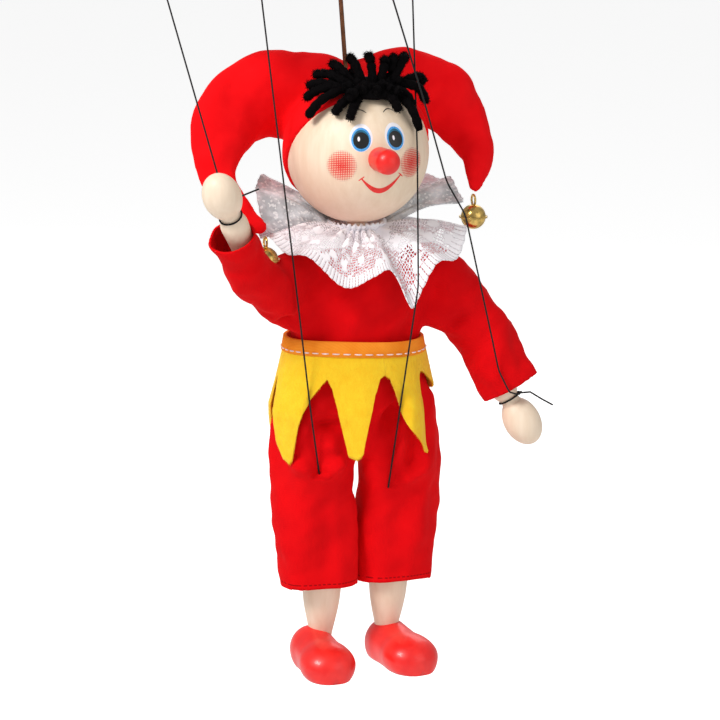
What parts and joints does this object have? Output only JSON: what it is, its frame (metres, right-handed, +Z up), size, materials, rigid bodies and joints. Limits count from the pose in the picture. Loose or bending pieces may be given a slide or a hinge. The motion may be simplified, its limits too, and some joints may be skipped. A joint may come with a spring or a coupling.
{
  "type": "marionette puppet",
  "caption": "Jointed turned-wood jester puppet in cloth clothes, hung by a head wire and strings from a hand-held wooden control with a hanging hook.",
  "frame": {"origin": "bearing point inside the top of the hanging hook's loop", "axes": "+Z up, the puppet's face looks along -Y, its left side is +X"},
  "size_m": [0.207, 0.1337, 0.415],
  "materials": {
    "control_wood": "satin",
    "turned_wood": "satin",
    "nose_paint": "gloss",
    "shoe_paint": "gloss",
    "wire": "satin",
    "steel": "satin",
    "brass": "polished",
    "red_cotton": "matte",
    "yellow_felt": "matte",
    "orange_tape": "matte",
    "white_lace": "matte",
    "silver_net": "satin",
    "black_chenille": "matte",
    "black_string": "matte"
  },
  "bodies": {
    "control": {"control_bar": "control_wood", "hand_crossbar": "control_wood", "knee_crossbar": "control_wood", "crossbar_screws": "steel", "hanging_hook": "steel", "wire_staple": "steel", "head_wire": "wire"},
    "head": {"head_ball": "turned_wood", "nose_peg": "nose_paint", "neck_peg": "turned_wood", "cap_crown": "red_cotton", "cap_horn_right": "red_cotton", "cap_horn_left": "red_cotton", "hair_yarn": "black_chenille"},
    "torso": {"torso_block": "turned_wood", "torso_eyes": "steel", "hip_rod": "steel", "jacket_body": "red_cotton", "lace_collar": "white_lace", "collar_net": "silver_net", "waistband": "orange_tape", "felt_skirt_right": "yellow_felt", "felt_skirt_left": "yellow_felt", "trousers_seat": "red_cotton"},
    "upper_arm_right": {"upper_arm_right": "turned_wood", "upper_arm_eyes_right": "steel", "sleeve_upper_right": "red_cotton"},
    "forearm_right": {"forearm_hand_right": "turned_wood", "forearm_eye_right": "steel", "wrist_loop_right": "black_string", "sleeve_lower_right": "red_cotton"},
    "thigh_right": {"thigh_right": "turned_wood", "knee_pin_right": "steel", "trouser_upper_right": "red_cotton"},
    "shin_right": {"shin_right": "turned_wood", "shoe_right": "shoe_paint", "trouser_lower_right": "red_cotton"},
    "bell_right": {"bell_shell_right": "brass", "bell_loop_right": "brass"},
    "pellet_right": {"bell_pellet_right": "steel"},
    "string_hand_right": {"hand_string_right": "black_string"},
    "string_knee_right": {"knee_string_right": "black_string"},
    "upper_arm_left": {"upper_arm_left": "turned_wood", "upper_arm_eyes_left": "steel", "sleeve_upper_left": "red_cotton"},
    "forearm_left": {"forearm_hand_left": "turned_wood", "forearm_eye_left": "steel", "wrist_loop_left": "black_string", "sleeve_lower_left": "red_cotton"},
    "thigh_left": {"thigh_left": "turned_wood", "knee_pin_left": "steel", "trouser_upper_left": "red_cotton"},
    "shin_left": {"shin_left": "turned_wood", "shoe_left": "shoe_paint", "trouser_lower_left": "red_cotton"},
    "bell_left": {"bell_shell_left": "brass", "bell_loop_left": "brass"},
    "pellet_left": {"bell_pellet_left": "steel"},
    "string_hand_left": {"hand_string_left": "black_string"},
    "string_knee_left": {"knee_string_left": "black_string"}
  },
  "joints": [
    {"name": "head_turn", "type": "hinge", "parent": "control", "child": "head", "pos_m": [0.01269, -0.0134, -0.19], "axis": [-0.02, 0.1713, 0.985], "range_deg": [-30, 8], "deforming": ["lace_collar", "collar_net", "hair_yarn"]},
    {"name": "torso_sway", "type": "hinge", "parent": "control", "child": "torso", "pos_m": [0.01269, -0.0134, -0.1937], "axis": [1, 0, 0], "range_deg": [-4, 4]},
    {"name": "left_arm_lift", "type": "hinge", "parent": "torso", "child": "upper_arm_left", "pos_m": [0.04869, -0.0134, -0.202], "axis": [-0.8223, -0.3606, -0.4402], "range_deg": [0, 42], "deforming": ["sleeve_upper_left", "hand_string_left"]},
    {"name": "left_elbow_bend", "type": "hinge", "parent": "upper_arm_left", "child": "forearm_left", "pos_m": [0.06319, -0.01589, -0.2295], "axis": [-0.8223, -0.3606, -0.4402], "range_deg": [0, 25.2], "deforming": ["sleeve_lower_left"]},
    {"name": "left_hand_string_swing", "type": "hinge", "parent": "control", "child": "string_hand_left", "pos_m": [0.00048, -0.08659, -0.052], "axis": [-0.8223, -0.3606, -0.4402], "range_deg": [0, 13.8]},
    {"name": "right_arm_swing", "type": "hinge", "parent": "torso", "child": "upper_arm_right", "pos_m": [-0.02331, -0.0134, -0.202], "axis": [-0.3873, 0.0481, 0.9207], "range_deg": [0, 35], "deforming": ["sleeve_upper_right", "hand_string_right"]},
    {"name": "right_elbow_swing", "type": "hinge", "parent": "upper_arm_right", "child": "forearm_right", "pos_m": [-0.04161, -0.0334, -0.213], "axis": [-0.2644, 0.1643, 0.9503], "range_deg": [0, 17.5], "deforming": ["sleeve_lower_right"]},
    {"name": "right_hand_string_swing", "type": "hinge", "parent": "control", "child": "string_hand_right", "pos_m": [-0.08641, -0.00556, -0.052], "axis": [-0.2382, -0.9229, 0.3025], "range_deg": [0, 15.38]},
    {"name": "right_leg_lift", "type": "hinge", "parent": "torso", "child": "thigh_right", "pos_m": [-0.00581, -0.01039, -0.262], "axis": [-1, 0, 0], "range_deg": [0, 60], "deforming": ["trousers_seat", "felt_skirt_right", "trouser_upper_right", "knee_string_right"]},
    {"name": "right_knee_bend", "type": "hinge", "parent": "thigh_right", "child": "shin_right", "pos_m": [-0.00531, -0.01439, -0.317], "axis": [1, 0, 0], "range_deg": [0, 80], "deforming": ["trouser_lower_right"]},
    {"name": "right_knee_string_swing", "type": "hinge", "parent": "control", "child": "string_knee_right", "pos_m": [-0.03355, 0.00333, -0.052], "axis": [-0.9932, -0.0883, -0.0754], "range_deg": [0, 9.11]},
    {"name": "left_leg_lift", "type": "hinge", "parent": "torso", "child": "thigh_left", "pos_m": [0.03119, -0.01039, -0.262], "axis": [-1, 0, 0], "range_deg": [0, 60], "deforming": ["trousers_seat", "felt_skirt_left", "trouser_upper_left", "knee_string_left"]},
    {"name": "left_knee_bend", "type": "hinge", "parent": "thigh_left", "child": "shin_left", "pos_m": [0.03069, -0.01439, -0.317], "axis": [1, 0, 0], "range_deg": [0, 80], "deforming": ["trouser_lower_left"]},
    {"name": "left_knee_string_swing", "type": "hinge", "parent": "control", "child": "string_knee_left", "pos_m": [0.04923, 0.01349, -0.052], "axis": [-0.9939, 0.0775, 0.0791], "range_deg": [0, 11.23]},
    {"name": "right_bell_swing", "type": "hinge", "parent": "head", "child": "bell_right", "pos_m": [-0.03881, -0.0284, -0.1876], "axis": [0, 1, 0], "range_deg": [-40, 40]},
    {"name": "right_pellet_rattle", "type": "slide", "parent": "bell_right", "child": "pellet_right", "axis": [0, 0, 1], "range_m": [0, 0.005]},
    {"name": "left_bell_swing", "type": "hinge", "parent": "head", "child": "bell_left", "pos_m": [0.07219, -0.01639, -0.174], "axis": [0, 1, 0], "range_deg": [-40, 40]},
    {"name": "left_pellet_rattle", "type": "slide", "parent": "bell_left", "child": "pellet_left", "axis": [0, 0, 1], "range_m": [0, 0.005]}
  ],
  "couplings": [
    {"joint": "left_elbow_bend", "follows": "left_arm_lift", "ratio": 0.6},
    {"joint": "left_hand_string_swing", "follows": "left_arm_lift", "ratio": 0.32823},
    {"joint": "right_elbow_swing", "follows": "right_arm_swing", "ratio": 0.5},
    {"joint": "right_hand_string_swing", "follows": "right_arm_swing", "ratio": 0.43889},
    {"joint": "right_knee_string_swing", "follows": "right_leg_lift", "ratio": 0.15163},
    {"joint": "left_knee_string_swing", "follows": "left_leg_lift", "ratio": 0.18688}
  ]
}
